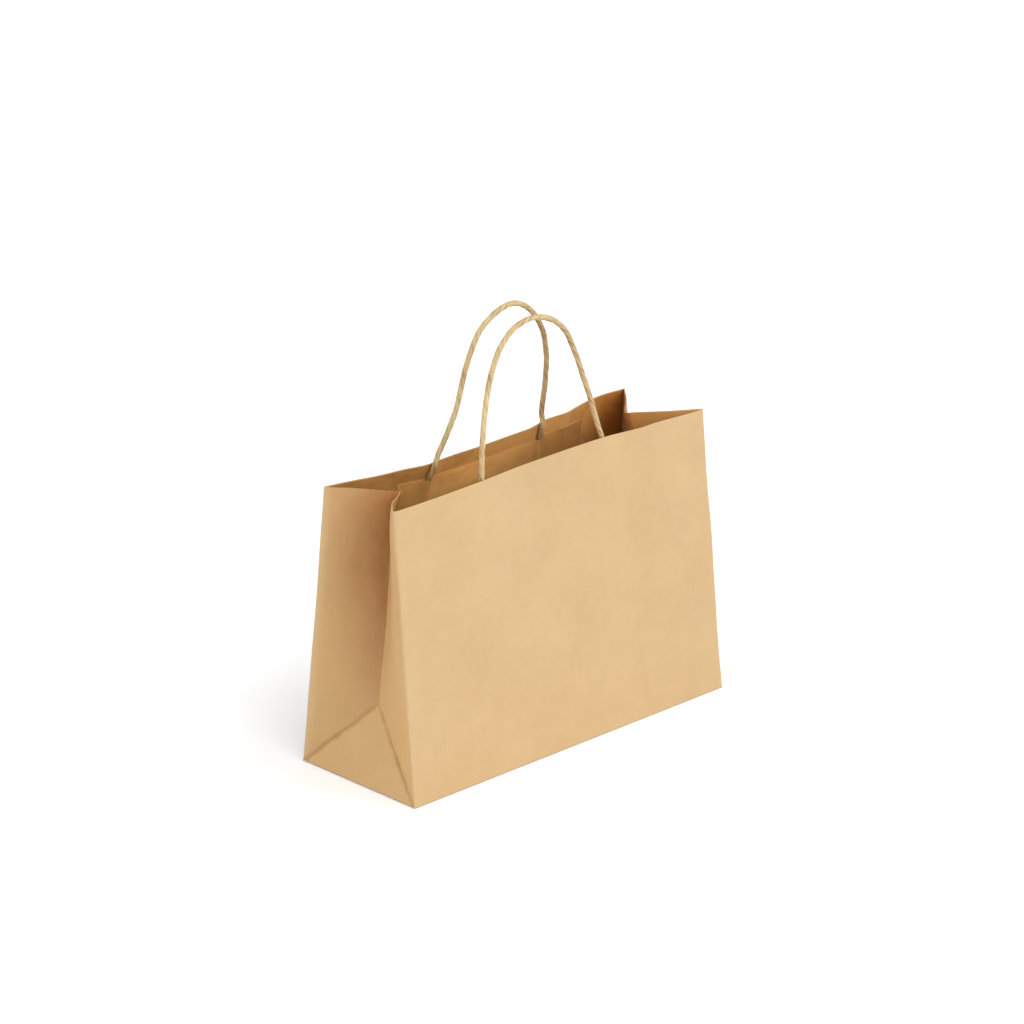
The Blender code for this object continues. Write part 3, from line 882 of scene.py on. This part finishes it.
def cord_mesh(name, rings, uvs):
    """A closed tube through rings of points, with its own map of the twist."""
    faces, face_uvs = [], []
    for i in range(len(rings) - 1):
        for j in range(CORD_CORNERS):
            k = (j + 1) % CORD_CORNERS
            a, b = i * CORD_CORNERS + j, i * CORD_CORNERS + k
            c, d = b + CORD_CORNERS, a + CORD_CORNERS
            faces.append((a, b, c, d))
            wrap = 1.0 if k == 0 else 0.0
            face_uvs += [uvs[a], (uvs[b][0] + wrap, uvs[b][1]), (uvs[c][0] + wrap, uvs[c][1]), uvs[d]]
    for ring in (0, len(rings) - 1):
        loop = [ring * CORD_CORNERS + j for j in range(CORD_CORNERS)]
        faces.append(tuple(reversed(loop)) if ring == 0 else tuple(loop))
        face_uvs += [uvs[v] for v in faces[-1]]
    mesh = bpy.data.meshes.new(name)
    mesh.from_pydata([point for ring in rings for point in ring], [], faces)
    layer = mesh.uv_layers.new(name="twist")
    layer.data.foreach_set("uv", np.array(face_uvs, np.float32).reshape(-1))
    mesh.polygons.foreach_set("use_smooth", [True] * len(mesh.polygons))
    return mesh


def twisted_cord(name, path, material, seed, far_leg):
    """A mesh tube with strands twisted round each other, pressed thinner inside the patch.

    far_leg is how much painted shade darkens the cord on its second half.
    """
    length = [0.0]
    for a, b in zip(path, path[1:]):
        length.append(length[-1] + (b - a).length)
    tangent = (path[1] - path[0]).normalized()
    side = tangent.orthogonal().normalized()
    rings, uvs, grooves, shades = [], [], [], []
    for i, (p, s) in enumerate(zip(path, length)):
        inside = min(s, length[-1] - s)
        pressed = PRESSED_SHARE + (1 - PRESSED_SHARE) * ease((inside - HIDDEN_CORD + 0.002) / 0.006)
        new = (path[min(i + 1, len(path) - 1)] - path[max(i - 1, 0)]).normalized()
        side = (tangent.rotation_difference(new) @ side)
        side = (side - new * side.dot(new)).normalized()
        tangent = new
        other = tangent.cross(side)
        turn = -2 * math.pi * s / TWIST_PITCH + 1.1 * noise.noise(Vector((s * 26, seed, 0)))
        wobble = Vector([0.00038 * noise.noise(Vector((s * 52, seed + 5 * k, 1.7))) for k in range(3)])
        thick = CORD_RADIUS * pressed * (1.055 + 0.06 * noise.noise(Vector((s * 75, seed, 9.0))))
        groove_depth = 0.075 + 0.06 * noise.noise(Vector((s * 60, seed, 6.1)))
        # painted shade: inside the bag's mouth, and on the far leg
        in_bag = 1 - ease((inside - HIDDEN_CORD - 0.006) / 0.010)
        shade = max(in_bag, far_leg * ease((s / length[-1] - 0.5) / 0.12))
        ring = []
        for j in range(CORD_CORNERS):
            angle = 2 * math.pi * j / CORD_CORNERS
            turned = (angle - turn) / (2 * math.pi)
            depth = 1 - abs(math.cos(STRANDS / 2 * (angle - turn))) ** 0.55
            strand = int((turned * STRANDS + 0.5) % STRANDS)
            uneven = 0.05 * noise.noise(Vector((s * 90, strand * 7.0 + seed, 3.3)))
            radius = thick * (1 + uneven - groove_depth * depth)
            ring.append(tuple(p + wobble + (side * math.cos(angle) + other * math.sin(angle)) * radius))
            uvs.append((turned + 40, s))
            grooves.append(depth ** 1.5)
            shades.append(shade)
        rings.append(ring)
    mesh = cord_mesh(name, rings, uvs)
    for key, values in (("groove", grooves), ("shade", shades)):
        attribute = mesh.attributes.new(key, "FLOAT", "POINT")
        attribute.data.foreach_set("value", np.array(values, np.float32))
    mesh.materials.append(material)
    return new_object(name, mesh), length[-1]


def make_cords(material):
    """The two handles, each a twisted cord from its patch over the loop and back into it."""
    for side_y, name, feet, lean, route, seed, far_leg in (
            (-1, "front", FRONT_FEET, FRONT_LOOP_LEAN, FRONT_ROUTE, 11.0, 0.2),
            (1, "back", BACK_FEET, BACK_LOOP_LEAN, BACK_ROUTE, 23.0, 0.55)):
        path, pivots = handle_path(side_y, feet, lean, route)
        piece, length = twisted_cord(f"{name}_handle_cord", path, material, seed, far_leg)
        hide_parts(f"{name}_handle_loop", f"{name}_cord_end_left", f"{name}_cord_end_right")
        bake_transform(piece)


# ---------------------------------------------------------------- floor and light

def make_stage():
    """A wide plain floor."""
    mesh = bpy.data.meshes.new("floor")
    mesh.from_pydata([(-40, -40, 0), (40, -40, 0), (40, 40, 0), (-40, 40, 0)], [], [(0, 1, 2, 3)])
    floor = new_object("floor", mesh)
    floor.location.z = -0.0002
    material, n = new_material("floor")
    n.shader.inputs["Base Color"].default_value = (0.89, 0.905, 0.925, 1)
    n.shader.inputs["Roughness"].default_value = 0.9
    n.shader.inputs["Specular IOR Level"].default_value = 0.0
    mesh.materials.append(material)


def make_lights():
    """An even pale sky and three soft lamps: (name, direction from the bag, strength, spread, colour)."""
    world = bpy.data.worlds.new("world")
    world.use_nodes = True
    bpy.context.scene.world = world
    background = world.node_tree.nodes["Background"]
    background.inputs[0].default_value = (1.0, 1.0, 1.0, 1)
    background.inputs[1].default_value = 0.54
    for name, direction, strength, spread, colour in (
            ("key", (0.60, -0.62, 0.50), 1.9, 60, (1.0, 1.0, 1.0)),
            ("front_left", (-0.33, -0.82, 0.52), 1.8, 52, (1.0, 1.0, 1.0)),
            ("back_left", (-0.85, 0.45, 0.70), 1.6, 80, (1.0, 0.98, 0.94))):
        data = bpy.data.lights.new(name, "SUN")
        data.energy = strength
        data.angle = math.radians(spread)
        data.color = colour
        light = new_object(name, data)
        light.rotation_mode = "QUATERNION"
        light.rotation_quaternion = Vector(direction).to_track_quat("Z", "Y")
    bpy.context.scene.view_settings.view_transform = "Standard"


# ---------------------------------------------------------------- all of it

make_camera()
CORD = cord_material()
# outside kraft: painted shade on the hem and towards the inside's ends
KRAFT = kraft("kraft", hem_shade_tint=INSIDE_SHADE, crumple_shade=0.6, end_shades=INSIDE_END_SHADES)
# front gussets: tint is painted light, with painted shade towards the crease and inside
FRONT_GUSSET_KRAFT = kraft("front_gusset_kraft", 2.0, (1.075, 0.975, 0.76, 1), SIDE_INSIDE_SHADE, "gusset",
                           (0.0, 0.035), (0.92, 0.80, 0.66, 1))
# rear gussets: tint is painted shade, the hem's tint painted interior light and shade, painted shade at the
# crease
REAR_GUSSET_KRAFT = kraft("rear_gusset_kraft", 2.4, SHADED, (1.30, 1.10, 0.80, 1), "gusset",
                          (0.02, 0.13), (0.57, 0.34, 0.135, 1))
# feet: tint is painted shade
FOOT_KRAFT = kraft("foot_kraft", 1.6, (0.97, 0.91, 0.80, 1), folds="foot")
# inside faces: painted shade
INSIDE_KRAFT = kraft("inside_kraft", tint=INSIDE_SHADE, crumple_shade=0.6, end_shades=INSIDE_END_SHADES)
# inside the narrow sides: painted shade
SIDE_INSIDE_KRAFT = kraft("side_inside_kraft", tint=SIDE_INSIDE_SHADE)
# patches: tint is painted interior light and shade, with painted shade at their ends
PATCH_KRAFT = kraft("patch_kraft", 0.5, (1.50, 1.17, 0.68, 1), crumple_shade=0.5, end_shades=PATCH_END_SHADES)
make_cords(CORD)
make_halves(KRAFT, FRONT_GUSSET_KRAFT, REAR_GUSSET_KRAFT, INSIDE_KRAFT, SIDE_INSIDE_KRAFT)
make_feet(FOOT_KRAFT, SIDE_INSIDE_KRAFT)
make_patches(PATCH_KRAFT)
make_seam(INSIDE_KRAFT)
make_stage()
make_lights()
